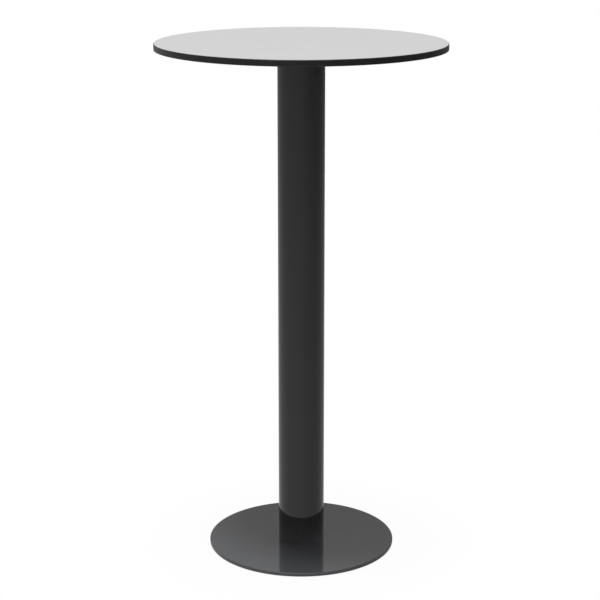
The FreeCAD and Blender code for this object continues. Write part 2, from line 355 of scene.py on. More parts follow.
def socket_tree():
    """Cuts a hexagon socket up into a screw's head."""
    tree, given = geometry_tree("hexagon_socket", sizes=("Across Flats", "Mouth", "Depth"))
    key = output_of(
        tree,
        "GeometryNodeMeshCylinder",
        "Mesh",
        {
            "Vertices": HEXAGON_SIDES,
            "Radius": over(tree, given["Across Flats"], 2 * math.cos(math.pi / HEXAGON_SIDES)),
            "Depth": plus(tree, given["Depth"], CUT_OVERRUN),
        },
    )
    half_way = over(tree, minus(tree, given["Depth"], CUT_OVERRUN), 2.0)
    placed = lifted(tree, key, plus(tree, given["Mouth"], half_way))
    return close_tree(tree, cut_away(tree, given["Geometry"], placed), given)


def drilled_tree():
    """Cuts a ring of holes up into a flat underside. A hole may narrow as it goes in."""
    tree, given = geometry_tree(
        "ring_of_holes",
        sizes=("Ring Radius", "Mouth Radius", "End Radius", "Face", "Depth"),
        counts=("Count", "Segments"),
    )
    taper = over(tree, minus(tree, given["Mouth Radius"], given["End Radius"]), given["Depth"])
    drill = output_of(
        tree,
        "GeometryNodeMeshCone",
        "Mesh",
        {
            "Vertices": given["Segments"],
            "Radius Bottom": times_plus(tree, taper, CUT_OVERRUN, given["Mouth Radius"]),
            "Radius Top": given["End Radius"],
            "Depth": plus(tree, given["Depth"], CUT_OVERRUN),
        },
    )
    start = minus(tree, given["Face"], CUT_OVERRUN)
    copies = ring_of(tree, drill, given["Count"], given["Ring Radius"], start)
    drills = output_of(tree, "GeometryNodeRealizeInstances", "Geometry", {"Geometry": copies})
    return close_tree(tree, cut_away(tree, given["Geometry"], drills), given)


# Finger grips start at a share of the pad's radius, and a power above 1 narrows them
GRIP_START_SHARE = 0.86
GRIP_POWER = 1.4


def grips_tree():
    """Draws a round pad's rim in at even steps, to make finger grips."""
    tree, given = geometry_tree("finger_grips", sizes=("Rim Radius", "Depth"), counts=("Count",))
    x, y, _ = parts_of(tree, output_of(tree, "GeometryNodeInputPosition", "Position"))
    radius = square_root(tree, plus(tree, times(tree, x, x), times(tree, y, y)))
    wave = cosine(tree, times(tree, turn_of(tree, y, x), given["Count"]))
    groove = power(tree, larger(tree, times(tree, wave, -1.0), 0.0), GRIP_POWER)
    near_rim = ramp(tree, over(tree, radius, given["Rim Radius"]), GRIP_START_SHARE, 1.0, kind="LINEAR")
    inward = times(tree, groove, times(tree, near_rim, given["Depth"]))
    shrink = over(tree, times(tree, inward, -1.0), larger(tree, radius, WELD_DISTANCE))
    offset = vector_of(tree, X=times(tree, x, shrink), Y=times(tree, y, shrink))
    inputs = {"Geometry": given["Geometry"], "Offset": offset}
    moved = output_of(tree, "GeometryNodeSetPosition", "Geometry", inputs)
    return close_tree(tree, moved, given)


# Widths of a thread's ridge as shares of its pitch, and the steps in one turn
THREAD_ROOT_SHARE = 0.86
THREAD_CREST_SHARE = 0.14
THREAD_STEPS = 40


def thread_tree():
    """Winds a right-hand thread on a plain shank about the vertical."""
    tree, given = geometry_tree("screw_thread", sizes=("Root Radius", "Depth", "Pitch", "Bottom", "Height"))
    helix = output_of(
        tree,
        "GeometryNodeCurveSpiral",
        "Curve",
        {
            "Resolution": THREAD_STEPS,
            "Rotations": over(tree, given["Height"], given["Pitch"]),
            "Start Radius": given["Root Radius"],
            "End Radius": given["Root Radius"],
            "Height": given["Height"],
        },
    )
    half_root = times(tree, given["Pitch"], THREAD_ROOT_SHARE / 2)
    half_crest = times(tree, given["Pitch"], THREAD_CREST_SHARE / 2)
    corners = (
        (0.0, half_root, -1.0),
        (given["Depth"], half_crest, -1.0),
        (given["Depth"], half_crest, 1.0),
        (0.0, half_root, 1.0),
    )
    points = {
        f"Point {number}": vector_of(tree, X=out, Y=times(tree, half, side))
        for number, (out, half, side) in enumerate(corners, start=1)
    }
    section = output_of(tree, "GeometryNodeCurvePrimitiveQuadrilateral", "Curve", points, mode="POINTS")
    ridge = lifted(tree, swept(tree, helix, section, **{"Fill Caps": True}), given["Bottom"])
    both = add(tree, "GeometryNodeJoinGeometry")
    for part in (given["Geometry"], ridge):
        tree.links.new(part, both.inputs["Geometry"])
    return close_tree(tree, both.outputs["Geometry"], given)


# A weld bead along, across and up, as shares of its radius, and the least of its random sizes
BEAD_SHAPE = (0.62, 1.0, 0.8)
BEAD_LEAST_SHARE = 0.86
BEAD_SUBDIVISIONS = 3
BEAD_SEED = 7


def weld_tree():
    """Lays overlapping beads of weld along lines."""
    tree, given = geometry_tree("weld_beads", sizes=("Step", "Bead Radius"))
    line = output_of(tree, "GeometryNodeMeshToCurve", "Curve", {"Mesh": given["Geometry"]})
    inputs = {"Curve": line, "Length": given["Step"]}
    places = add(tree, "GeometryNodeCurveToPoints", inputs, mode="LENGTH").outputs
    along = {"Vector": places["Tangent"]}
    inputs = {RANDOM_LEAST: BEAD_LEAST_SHARE, RANDOM_MOST: 1.0, "Seed": BEAD_SEED}
    size = output_of(tree, "FunctionNodeRandomValue", RANDOM_NUMBER, inputs)
    shape = {0: BEAD_SHAPE, "Scale": size}
    bead = {"Radius": given["Bead Radius"], "Subdivisions": BEAD_SUBDIVISIONS}
    beads = output_of(
        tree,
        "GeometryNodeInstanceOnPoints",
        "Instances",
        {
            "Points": places["Points"],
            "Instance": output_of(tree, "GeometryNodeMeshIcoSphere", "Mesh", bead),
            "Rotation": output_of(tree, "FunctionNodeAlignRotationToVector", "Rotation", along, axis="X"),
            "Scale": output_of(tree, "ShaderNodeVectorMath", "Vector", shape, operation="SCALE"),
        },
    )
    return close_tree(tree, beads, given)


TURNED = turned_tree()
RING = ring_tree()
SOCKET = socket_tree()
DRILLED = drilled_tree()
GRIPS = grips_tree()
THREAD = thread_tree()
WELD = weld_tree()


# Shader groups


def shader_group(name, inputs, outputs):
    """An empty shader group with named number inputs and outputs."""
    tree = bpy.data.node_groups.new(name, "ShaderNodeTree")
    for label in inputs:
        tree.interface.new_socket(label, in_out="INPUT", socket_type="NodeSocketFloat")
    for label in outputs:
        tree.interface.new_socket(label, in_out="OUTPUT", socket_type="NodeSocketFloat")
    return tree, tree.nodes.new("NodeGroupInput").outputs, tree.nodes.new("NodeGroupOutput").inputs


def object_place(tree):
    return output_of(tree, "ShaderNodeTexCoord", "Object")


def length_of(tree, vector):
    return output_of(tree, "ShaderNodeVectorMath", "Value", {0: vector}, operation="LENGTH")


def noise(tree, place, scale, detail=1.0, roughness=0.5):
    inputs = {"Vector": place, "Scale": scale, "Detail": detail, "Roughness": roughness}
    return output_of(tree, "ShaderNodeTexNoise", "Fac", inputs)


# Paint skin: a finer grain rides on the orange peel, and the tone drifts in patches
FINE_GRAIN_RATIO = 4.3
FINE_GRAIN_SHARE = 0.25
MOTTLE_NOISE = {"detail": 4.0, "roughness": 0.6}
MOTTLE_RANGE = (0.3, 0.7)


def paint_skin_group():
    """The skin of sprayed or powder paint: orange peel as a height, and slow changes of tone."""
    tree, given, result = shader_group("paint_skin", ("Grain", "Patch"), ("Height", "Mottle"))
    place = object_place(tree)
    grain_scale = over(tree, 1.0, given["Grain"])
    peel = noise(tree, place, grain_scale)
    fine = noise(tree, place, times(tree, grain_scale, FINE_GRAIN_RATIO))
    plug(tree, result["Height"], times_plus(tree, fine, FINE_GRAIN_SHARE, peel))
    patches = noise(tree, place, over(tree, 1.0, given["Patch"]), **MOTTLE_NOISE)
    plug(tree, result["Mottle"], ramp(tree, patches, *MOTTLE_RANGE))
    return tree


# Dust. The film's scale and the specks' cells are numbers to the metre
FACING_UP_RANGE = (0.2, 0.95)
FILM_NOISE = {"scale": 22.0, "detail": 5.0, "roughness": 0.65}
FILM_RANGE = (0.42, 0.75)
SPECK_CELLS = 210.0
SPECKLESS_SHARE = 0.78
LARGEST_SPECK_SHARE = 0.16


def dust_group():
    """Settled dust: a thin film on faces that look up, and scattered specks."""
    tree, given, result = shader_group("settled_dust", ("Film", "Specks"), ("Mask",))
    place = object_place(tree)
    normal = output_of(tree, "ShaderNodeNewGeometry", "Normal")
    facing_up = ramp(tree, parts_of(tree, normal)["Z"], *FACING_UP_RANGE)
    film = ramp(tree, noise(tree, place, **FILM_NOISE), *FILM_RANGE)
    cells = add(tree, "ShaderNodeTexVoronoi", {"Vector": place, "Scale": SPECK_CELLS}).outputs
    lot = output_of(tree, "ShaderNodeSeparateColor", "Red", {0: cells["Color"]})
    speck_radius = ramp(tree, lot, SPECKLESS_SHARE, 1.0, 0.0, LARGEST_SPECK_SHARE)
    speck = is_below(tree, cells["Distance"], speck_radius)
    both = times_plus(tree, film, given["Film"], times(tree, speck, given["Specks"]))
    plug(tree, result["Mask"], times(tree, facing_up, both))
    return tree


# Directions of the hairlines, in radians
HAIRLINE_TURNS = (0.35, 1.25, 2.4)


def hairlines_group():
    """Fine scratches on a level face, in a few crossing directions."""
    tree, given, result = shader_group("hairlines", ("Length", "Width", "Share"), ("Mask",))
    place = object_place(tree)
    stretch = vector_of(tree, X=over(tree, 1.0, given["Length"]), Y=over(tree, 1.0, given["Width"]), Z=1.0)
    edge = minus(tree, 1.0, given["Share"])
    mask = 0.0
    for turn in HAIRLINE_TURNS:
        inputs = {"Vector": place, "Angle": turn}
        rotated = output_of(tree, "ShaderNodeVectorRotate", "Vector", inputs, rotation_type="Z_AXIS")
        inputs = {0: rotated, 1: stretch}
        drawn = output_of(tree, "ShaderNodeVectorMath", "Vector", inputs, operation="MULTIPLY")
        mask = larger(tree, mask, ramp(tree, noise(tree, drawn, 1.0), edge, 1.0, kind="LINEAR"))
    plug(tree, result["Mask"], mask)
    return tree


# Rubbed edges
RUB_NOISE = {"scale": 45.0, "detail": 5.0, "roughness": 0.7}
RUB_RANGE = (0.38, 0.68)


def edge_rub_group():
    """Rubbing along a round edge: how near the edge is, and a mask of its uneven wear."""
    tree, given, result = shader_group("edge_rub", ("Radius", "Height", "Width"), ("Nearness", "Mask"))
    place = object_place(tree)
    x, y, z = parts_of(tree, place)
    out = minus(tree, length_of(tree, vector_of(tree, X=x, Y=y)), given["Radius"])
    up = minus(tree, z, given["Height"])
    distance = square_root(tree, times_plus(tree, out, out, times(tree, up, up)))
    nearness = ramp(tree, over(tree, distance, given["Width"]), 0.0, 1.0, 1.0, 0.0)
    plug(tree, result["Nearness"], nearness)
    uneven = ramp(tree, noise(tree, place, **RUB_NOISE), *RUB_RANGE)
    plug(tree, result["Mask"], times(tree, nearness, uneven))
    return tree


PAINT_SKIN = paint_skin_group()
DUST = dust_group()
HAIRLINES = hairlines_group()
EDGE_RUB = edge_rub_group()


# Materials

BLUE_BLACK_TINT = (0.965, 1.0, 1.07)
COATING_IOR = 1.5


def grey(value, warmth=0.0):
    """A neutral colour, a little warmer or cooler."""
    return (value * (1 + warmth), value, value * (1 - warmth), 1.0)


def blue_black(value):
    """The colour of black lacquer, which is a little blue."""
    return (*(value * tint for tint in BLUE_BLACK_TINT), 1.0)


class Finish:
    """A material in the making, whose tone, gloss and fine relief drift over the surface."""

    def __init__(self, name, skin, roughness, **constants):
        """Values that are the same all over go on the shader's own sockets."""
        self.made = bpy.data.materials.new(name)
        self.made.use_nodes = True
        self.tree = self.made.node_tree
        self.shader = self.tree.nodes["Principled BSDF"]
        for socket, value in constants.items():
            self.shader.inputs[socket].default_value = value
        surface = self.use(PAINT_SKIN, skin)
        self.mottle = surface["Mottle"]
        self.height = surface["Height"]
        self.roughness = ramp(self.tree, self.mottle, 0.0, 1.0, *roughness)
        self.colour = None

    def use(self, group, values):
        """Places a shader group with its own values, and gives its outputs."""
        return add(self.tree, "ShaderNodeGroup", values, node_tree=group).outputs

    def blend(self, share, low, high):
        """A colour between two others."""
        inputs = {"Factor": share, MIX_LOW: low, MIX_HIGH: high}
        return output_of(self.tree, "ShaderNodeMix", MIX_COLOUR, inputs, data_type="RGBA")

    def paint(self, tones, share=None):
        """Colours the surface between two tones, by its own mottle or by another share."""
        self.colour = self.blend(self.mottle if share is None else share, *tones)

    def tint(self, mask, colour):
        """Lays a colour over the surface where a mask is."""
        self.colour = self.blend(mask, self.colour, colour)

    def dull(self, mask, amount):
        """Adds roughness where a mask is, or takes it away."""
        self.roughness = times_plus(self.tree, mask, amount, self.roughness)

    def done(self, relief):
        """Joins colour, roughness and relief to the shader, and gives the material."""
        normal = output_of(self.tree, "ShaderNodeBump", "Normal", {**relief, "Height": self.height})
        sockets = {"Base Color": self.colour, "Roughness": self.roughness, "Normal": normal}
        for socket, value in sockets.items():
            plug(self.tree, self.shader.inputs[socket], value)
        return self.made


# Printed laminate. Below the print's depth its cut edge shows dark paper
PRINT_SKIN = {"Grain": 0.9 * MM, "Patch": 90 * MM}
PRINT_TONES = (grey(0.645, 0.002), grey(0.665, 0.002))
PRINT_ROUGHNESS = (0.52, 0.46)
PRINT_RELIEF = {"Strength": 0.12, "Distance": 0.03 * MM}
PRINT_DEPTH = 0.02 * MM
PRINT_FADE = 0.02 * MM
CUT_PAPER = grey(0.014)
WIPE_MARKS = {"Length": 70 * MM, "Width": 0.6 * MM, "Share": 0.36}
WIPED_ROUGHNESS = -0.08


def cut_edge(tree):
    """0 on the two printed faces of the top, and 1 between them."""
    middle = (top_face + top_underside) / 2
    outwards = absolute(tree, minus(tree, parts_of(tree, object_place(tree))["Z"], middle))
    skin_start = top_face - middle - PRINT_DEPTH
    return ramp(tree, outwards, skin_start - PRINT_FADE, skin_start, 1.0, 0.0)


def decor_material():
    """Pale melamine sheet with a soft matt texture, faint wipe marks, and a dark cut edge."""
    decor = Finish("laminate_decor", PRINT_SKIN, PRINT_ROUGHNESS, IOR=COATING_IOR)
    decor.paint(PRINT_TONES)
    decor.tint(cut_edge(decor.tree), CUT_PAPER)
    decor.dull(decor.use(HAIRLINES, WIPE_MARKS)["Mask"], WIPED_ROUGHNESS)
    return decor.done(PRINT_RELIEF)


# Core of the top
CORE_SKIN = {"Grain": 1.1 * MM, "Patch": 35 * MM}
CORE_TONES = (grey(0.010), grey(0.017, 0.02))
CORE_ROUGHNESS = (0.15, 0.21)
CORE_RELIEF = {"Strength": 0.1, "Distance": 0.03 * MM}
CORE_MOTTLE_SHARE = 0.4
LAYER_THICKNESS = 0.9 * MM
LAYER_WAVE = {"Distortion": 1.2, "Detail": 2.0, "Detail Scale": 0.05}
LAYER_TONE_SHARE = 0.35
LAYER_RELIEF_SHARE = 0.5
ARRIS_WIDTH = 2.0 * MM
ARRIS_WEAR_SHARE = 0.6
ARRIS_ROUGHNESS = 0.4
WORN_PAPER = grey(0.05)


def core_material():
    """The sanded and oiled edge of black pressed paper: faint layers, and arrises rubbed grey."""
    core = Finish("laminate_core", CORE_SKIN, CORE_ROUGHNESS, IOR=COATING_IOR)
    tree = core.tree
    wave = {"Vector": object_place(tree), "Scale": 1 / LAYER_THICKNESS / math.tau, **LAYER_WAVE}
    layers = output_of(tree, "ShaderNodeTexWave", "Fac", wave, bands_direction="Z")
    mottle = times(tree, core.mottle, CORE_MOTTLE_SHARE)
    core.paint(CORE_TONES, times_plus(tree, layers, LAYER_TONE_SHARE, mottle))
    core.height = times_plus(tree, layers, LAYER_RELIEF_SHARE, core.height)
    upper, lower = (
        core.use(EDGE_RUB, {"Radius": top_radius, "Height": height, "Width": ARRIS_WIDTH})
        for height in (core_top, core_bottom)
    )
    worn = larger(tree, upper["Mask"], lower["Mask"])
    core.tint(times(tree, worn, ARRIS_WEAR_SHARE), WORN_PAPER)
    core.dull(larger(tree, upper["Nearness"], lower["Nearness"]), ARRIS_ROUGHNESS)
    return core.done(CORE_RELIEF)


# Column
COLUMN_SKIN = {"Grain": 1.3 * MM, "Patch": 120 * MM}
COLUMN_TONES = (grey(0.0225, 0.004), grey(0.0245, 0.004))
COLUMN_ROUGHNESS = (0.035, 0.05)
COLUMN_RELIEF = {"Strength": 0.015, "Distance": 0.05 * MM}
# The foot of the column is painted lighter and bluer, as painted light bounced up from the base, and dust
# makes it rougher: how high this reaches, how it fades, how uneven it is, its colour and its roughness
FOOT_LIGHT_AND_DUST_HEIGHT = 90 * MM
FOOT_LIGHT_AND_DUST_POWER = 3.0
FOOT_LIGHT_AND_DUST_NOISE = {"scale": 35.0, "detail": 4.0, "roughness": 0.6}
FOOT_LIGHT_AND_DUST_RANGE = (0.25, 0.75)
FOOT_LIGHT_AND_DUST_LEAST = 0.75
FOOT_BOUNCE_LIGHT_COLOUR = blue_black(0.125)
FOOT_DUST_ROUGHNESS = 0.12


def foot_light_and_dust(tree):
    """Painted light bounced up from the base, and dust where a mop reaches, on the foot of the column:
    strongest at the base, and gone a hand's width up.
    """
    place = object_place(tree)
    light_and_dust_end = base_top + FOOT_LIGHT_AND_DUST_HEIGHT
    nearness = ramp(tree, parts_of(tree, place)["Z"], base_top, light_and_dust_end, 1.0, 0.0, kind="LINEAR")
    uneven = ramp(tree, noise(tree, place, **FOOT_LIGHT_AND_DUST_NOISE), *FOOT_LIGHT_AND_DUST_RANGE, FOOT_LIGHT_AND_DUST_LEAST, 1.0)
    return times(tree, power(tree, nearness, FOOT_LIGHT_AND_DUST_POWER), uneven)


def column_material():
    """Gloss black paint on the tube: fine orange peel, and at its foot painted light bounced up from the
    base, with dust.
    """
    column = Finish("column_paint", COLUMN_SKIN, COLUMN_ROUGHNESS, IOR=COATING_IOR)
    column.paint(COLUMN_TONES)
    marked = foot_light_and_dust(column.tree)
    # Painted light: the foot is tinted lighter and bluer, standing in for light bounced up from the base
    column.tint(marked, FOOT_BOUNCE_LIGHT_COLOUR)
    column.dull(marked, FOOT_DUST_ROUGHNESS)
    return column.done(COLUMN_RELIEF)


# Base
BASE_SKIN = {"Grain": 4.5 * MM, "Patch": 80 * MM}
BASE_TONES = (blue_black(0.096), blue_black(0.104))
BASE_ROUGHNESS = (0.05, 0.075)
BASE_RELIEF = {"Strength": 0.03, "Distance": 0.05 * MM}
CLEANING_MARKS = {"Length": 45 * MM, "Width": 0.45 * MM, "Share": 0.3}
CLEANED_ROUGHNESS = 0.1
BASE_DUST = {"Film": 0.25, "Specks": 0.5}
BASE_DUST_SHARE = 0.12
BASE_DUST_COLOUR = grey(0.22, 0.02)
BASE_DUST_ROUGHNESS = 0.08
RIM_RUB_WIDTH = 2.8 * MM
RIM_WEAR_SHARE = 0.3
RIM_WEAR_COLOUR = grey(0.09)
RIM_ROUGHNESS = 0.5


def base_material():
    """Gloss black lacquer on the base: long orange peel, hairlines from cleaning, dust and a rubbed rim."""
    base = Finish("base_paint", BASE_SKIN, BASE_ROUGHNESS, IOR=COATING_IOR)
    tree = base.tree
    marked = base.use(DUST, BASE_DUST)["Mask"]
    rim = base.use(EDGE_RUB, {"Radius": base_radius, "Height": base_top, "Width": RIM_RUB_WIDTH})
    base.paint(BASE_TONES)
    base.tint(times(tree, marked, BASE_DUST_SHARE), BASE_DUST_COLOUR)
    base.tint(times(tree, rim["Mask"], RIM_WEAR_SHARE), RIM_WEAR_COLOUR)
    base.dull(marked, BASE_DUST_ROUGHNESS)
    base.dull(rim["Nearness"], RIM_ROUGHNESS)
    base.dull(base.use(HAIRLINES, CLEANING_MARKS)["Mask"], CLEANED_ROUGHNESS)
    return base.done(BASE_RELIEF)


# Spider
SPIDER_SKIN = {"Grain": 1.8 * MM, "Patch": 30 * MM}
SPIDER_TONES = (grey(0.020), grey(0.026))
SPIDER_ROUGHNESS = (0.42, 0.5)
SPIDER_RELIEF = {"Strength": 0.25, "Distance": 0.08 * MM}


def spider_material():
    """Black powder paint on the hidden spider, coarser than the column's."""
    spider = Finish("spider_paint", SPIDER_SKIN, SPIDER_ROUGHNESS, IOR=COATING_IOR)
    spider.paint(SPIDER_TONES)
    return spider.done(SPIDER_RELIEF)


# Metals, each with its grain, its two tones and its range of roughness
METALS = {
    "zinc_plate": (0.5 * MM, ((0.56, 0.58, 0.60, 1.0), (0.66, 0.66, 0.65, 1.0)), (0.26, 0.38)),
    "insert_brass": (0.4 * MM, ((0.62, 0.45, 0.18, 1.0), (0.74, 0.56, 0.26, 1.0)), (0.25, 0.35)),
    "stud_steel": (0.4 * MM, ((0.46, 0.46, 0.47, 1.0), (0.56, 0.56, 0.56, 1.0)), (0.28, 0.4)),
}
METAL_PATCH = 6 * MM
METAL_RELIEF = {"Strength": 0.12, "Distance": 0.02 * MM}


def metal_material(name):
    """Bare or plated metal: its tint drifts, and fine tool marks break up its shine."""
    grain, tones, roughness = METALS[name]
    metal = Finish(name, {"Grain": grain, "Patch": METAL_PATCH}, roughness, Metallic=1.0)
    metal.paint(tones)
    return metal.done(METAL_RELIEF)


# Nylon pads
NYLON_IOR = 1.53
NYLON_SKIN = {"Grain": 0.7 * MM, "Patch": 9 * MM}
NYLON_TONES = (grey(0.016), grey(0.022))
NYLON_ROUGHNESS = (0.48, 0.58)
NYLON_RELIEF = {"Strength": 0.2, "Distance": 0.04 * MM}
SCUFFS = {"Length": 9 * MM, "Width": 0.3 * MM, "Share": 0.42}
SCUFF_HEIGHT = 0.3 * MM
SCUFF_COLOUR = grey(0.09, 0.03)
SCUFF_ROUGHNESS = 0.15


def nylon_material():
    """Moulded black nylon, scuffed pale on the face that slides on floors."""
    nylon = Finish("glide_nylon", NYLON_SKIN, NYLON_ROUGHNESS, IOR=NYLON_IOR)
    tree = nylon.tree
    low_down = ramp(tree, parts_of(tree, object_place(tree))["Z"], 0.0, SCUFF_HEIGHT, 1.0, 0.0)
    worn = times(tree, nylon.use(HAIRLINES, SCUFFS)["Mask"], low_down)
    nylon.paint(NYLON_TONES)
    nylon.tint(worn, SCUFF_COLOUR)
    nylon.dull(worn, SCUFF_ROUGHNESS)
    return nylon.done(NYLON_RELIEF)


MATERIALS = {
    "laminate_decor": decor_material(),
    "laminate_core": core_material(),
    "column_paint": column_material(),
    "base_paint": base_material(),
    "spider_paint": spider_material(),
    "glide_nylon": nylon_material(),
    **{name: metal_material(name) for name in METALS},
}


# Pieces from trees


def grown(name, slot, source, *steps):
    """A plain mesh grown from a source mesh by a row of trees, each with its own sizes."""
    piece = bpy.data.objects.new(name, source)
    bpy.context.scene.collection.objects.link(piece)
    for tree, sizes in steps:
        modifier = piece.modifiers.new(tree.name, "NODES")
        modifier.node_group = tree
        items = tree.interface.items_tree
        sockets = {item.name: item.identifier for item in items if item.in_out == "INPUT"}
        for size, value in {**sizes, "Material": MATERIALS[slot]}.items():
            modifier[sockets[size]] = value
    depsgraph = bpy.context.evaluated_depsgraph_get()
    mesh = bpy.data.meshes.new_from_object(piece.evaluated_get(depsgraph), depsgraph=depsgraph)
    piece.modifiers.clear()
    piece.data = mesh
    mesh.name = name
    bpy.data.meshes.remove(source)
    return piece


def with_supports(corners, closed):
    """Adds a point beside each rounded corner, so that the round doesn't shade the long faces next to it."""
    points = []
    count = len(corners)
    for i, (radius, height, corner_round) in enumerate(corners):
        here = Vector((radius, height))
        room = corner_round + SUPPORT_MARGIN
        if closed:
            neighbours = ((i - 1) % count, (i + 1) % count)
        else:
            neighbours = (max(i - 1, 0), min(i + 1, count - 1))
        supports = []
        for neighbour in neighbours:
            step = Vector(corners[neighbour][:2]) - here
            fits = corner_round and step.length > 2 * room + SUPPORT_MARGIN
            supports.append([(*(here + step * (room / step.length)), 0.0)] if fits else [])
        points += supports[0] + [(radius, height, corner_round)] + supports[1]
    return points


def outline(corners, closed):
    """A mesh of an outline, as the turning tree reads it. A corner is a radius, a height and any round."""
    points = with_supports([(*corner, 0.0)[:3] for corner in corners], closed)
    mesh = bpy.data.meshes.new("outline")
    edges = [(i, i + 1) for i in range(len(points) - 1)]
    if closed:
        edges.append((len(points) - 1, 0))
    mesh.from_pydata([(radius - SWEEP_RADIUS, -height, 0.0) for radius, height, _ in points], edges, [])
    rounds = mesh.attributes.new("corner_round", "FLOAT", "POINT")
    rounds.data.foreach_set("value", [corner_round for _, _, corner_round in points])
    return mesh


def turned(name, slot, corners, segments, *steps, closed=False):
    """A piece turned from an outline about the column's axis, and then worked on by other trees."""
    turning = (TURNED, {"Segments": segments, "Round Steps": ROUND_STEPS})
    return grown(name, slot, outline(corners, closed), turning, *steps)


def ring(count, radius, rows=1, row_step=0.0):
    return RING, {"Count": count, "Radius": radius, "Rows": rows, "Row Step": row_step}


def hexagon_socket(across_flats, mouth, depth):
    return SOCKET, {"Across Flats": across_flats, "Mouth": mouth, "Depth": depth}


def dress(piece, body, slot, *stood_for):
    """Says which body a piece rides on, and hides the nodes that it stands for. The slot is not used."""
    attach(piece, body)
    if stood_for:
        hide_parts(*stood_for)


# Table top


def make_top():
    eased = top_radius - decor_radius
    core_corners = [
        (0.0, core_bottom),
        (top_radius - CORE_UNDER_BREAK, core_bottom),
        (top_radius, core_bottom + CORE_UNDER_BREAK, CORE_EDGE_ROUND),
        (top_radius, core_top - eased, CORE_EDGE_ROUND),
        (decor_radius, core_top),
        (0.0, core_top),
    ]
    core = turned("table_top_core", "laminate_core", core_corners, TOP_SEGMENTS)
    dress(core, "table", "laminate_core", "top_core")
    inner_radius = decor_radius - (top_face - core_top)
    sheets = {
        "face": [(decor_radius, core_top), (inner_radius, top_face, DECOR_EDGE_ROUND)],
        "back": [(inner_radius, top_underside, DECOR_EDGE_ROUND), (decor_radius, core_bottom)],
    }
    for side, (lower, upper) in sheets.items():
        corners = [(0.0, lower[1]), lower, upper, (0.0, upper[1])]
        sheet = turned(f"table_top_{side}", "laminate_decor", corners, TOP_SEGMENTS)
        dress(sheet, "table", "laminate_decor", f"top_{side}_decor")


# Column and base


def make_column():
    bore = column_radius - COLUMN_WALL
    shoulder = column_radius - COLUMN_END_BREAK
    corners = [
        (bore, column_bottom),
        (shoulder, column_bottom),
        (column_radius, column_bottom + COLUMN_END_BREAK, COLUMN_END_ROUND),
        (column_radius, column_top - COLUMN_END_BREAK, COLUMN_END_ROUND),
        (shoulder, column_top),
        (bore, column_top),
    ]
    column = turned("column", "column_paint", corners, COLUMN_SEGMENTS, closed=True)
    dress(column, "table", "column_paint", "column_tube")


def base_holes(count, ring_radius, radii, depth):
    mouth_radius, end_radius = radii
    sizes = {
        "Ring Radius": ring_radius,
        "Mouth Radius": mouth_radius,
        "End Radius": end_radius,
        "Face": base_bottom,
        "Depth": depth,
        "Count": count,
        "Segments": SMALL_SEGMENTS,
    }
    return DRILLED, sizes


def make_base():
    """A flat disc with countersinks for its screws and plain holes for the studs, in its underside."""
    corners = [
        (0.0, base_bottom),
        (base_radius, base_bottom, BASE_RIM_ROUND),
        (base_radius, base_top, BASE_RIM_ROUND),
        (0.0, base_top),
    ]
    sink_radii = (BASE_SCREW_HEAD_RADIUS + COUNTERSINK_GAP, BASE_SCREW_RADIUS + COUNTERSINK_GAP)
    sink_depth = BASE_SCREW_HEAD_RADIUS - BASE_SCREW_RADIUS
    countersinks = base_holes(BASE_SCREW_COUNT, BASE_SCREW_CIRCLE_RADIUS, sink_radii, sink_depth)
    stud_radii = (STUD_HOLE_RADIUS, STUD_HOLE_RADIUS)
    stud_holes = base_holes(FOOT_COUNT, FOOT_CIRCLE_RADIUS, stud_radii, STUD_HOLE_DEPTH)
    base = turned("base_disc", "base_paint", corners, BASE_SEGMENTS, countersinks, stud_holes)
    dress(base, "table", "base_paint", "base_plate")


# Fixings


def make_top_fixings():
    """Button-head screws and washers, two under each arm of the spider."""
    inner, outer = TOP_FIXING_RADII
    copies = ring(TOP_FIXING_SPOKES, inner, len(TOP_FIXING_RADII), outer - inner)
    outer_x = outer * math.cos(math.tau / TOP_FIXING_SPOKES * RING_START_SHARE)
    washer_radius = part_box("spider_washers")[1].x - outer_x
    washer_corners = [
        (WASHER_HOLE_RADIUS, washer_bottom),
        (washer_radius, washer_bottom, FIXING_EDGE_ROUND),
        (washer_radius, washer_top, FIXING_EDGE_ROUND),
        (WASHER_HOLE_RADIUS, washer_top),
    ]
    washers = turned("spider_washer_set", "zinc_plate", washer_corners, SMALL_SEGMENTS, copies, closed=True)
    dress(washers, "table", "zinc_plate", "spider_washers")
    head_bottom = washer_bottom - BUTTON_HEAD_HEIGHT
    screw_tip = heights("spider_screws")[1]
    screw_corners = [
        (0.0, head_bottom),
        (BUTTON_HEAD_RADIUS, head_bottom, BUTTON_DOME),
        (BUTTON_HEAD_RADIUS, washer_bottom, FIXING_EDGE_ROUND),
        (SCREW_RADIUS, washer_bottom),
        (SCREW_RADIUS, screw_tip),
        (0.0, screw_tip),
    ]
    socket = hexagon_socket(BUTTON_SOCKET, head_bottom, BUTTON_SOCKET_DEPTH)
    screws = turned("spider_screw_set", "zinc_plate", screw_corners, SMALL_SEGMENTS, socket, copies)
    dress(screws, "table", "zinc_plate", "spider_screws")


def make_base_screws():
    """Countersunk screws, flush in the underside of the base."""
    tip = heights("base_screws")[1]
    cone_end = base_bottom + BASE_SCREW_HEAD_RADIUS - BASE_SCREW_RADIUS
    corners = [
        (0.0, base_bottom),
        (BASE_SCREW_HEAD_RADIUS, base_bottom, FIXING_EDGE_ROUND),
        (BASE_SCREW_RADIUS, cone_end),
        (BASE_SCREW_RADIUS, tip),
        (0.0, tip),
    ]
    socket = hexagon_socket(BASE_SCREW_SOCKET, base_bottom, BASE_SCREW_SOCKET_DEPTH)
    copies = ring(BASE_SCREW_COUNT, BASE_SCREW_CIRCLE_RADIUS)
    screws = turned("base_screw_set", "zinc_plate", corners, SMALL_SEGMENTS, socket, copies)
    dress(screws, "table", "zinc_plate", "base_screws")


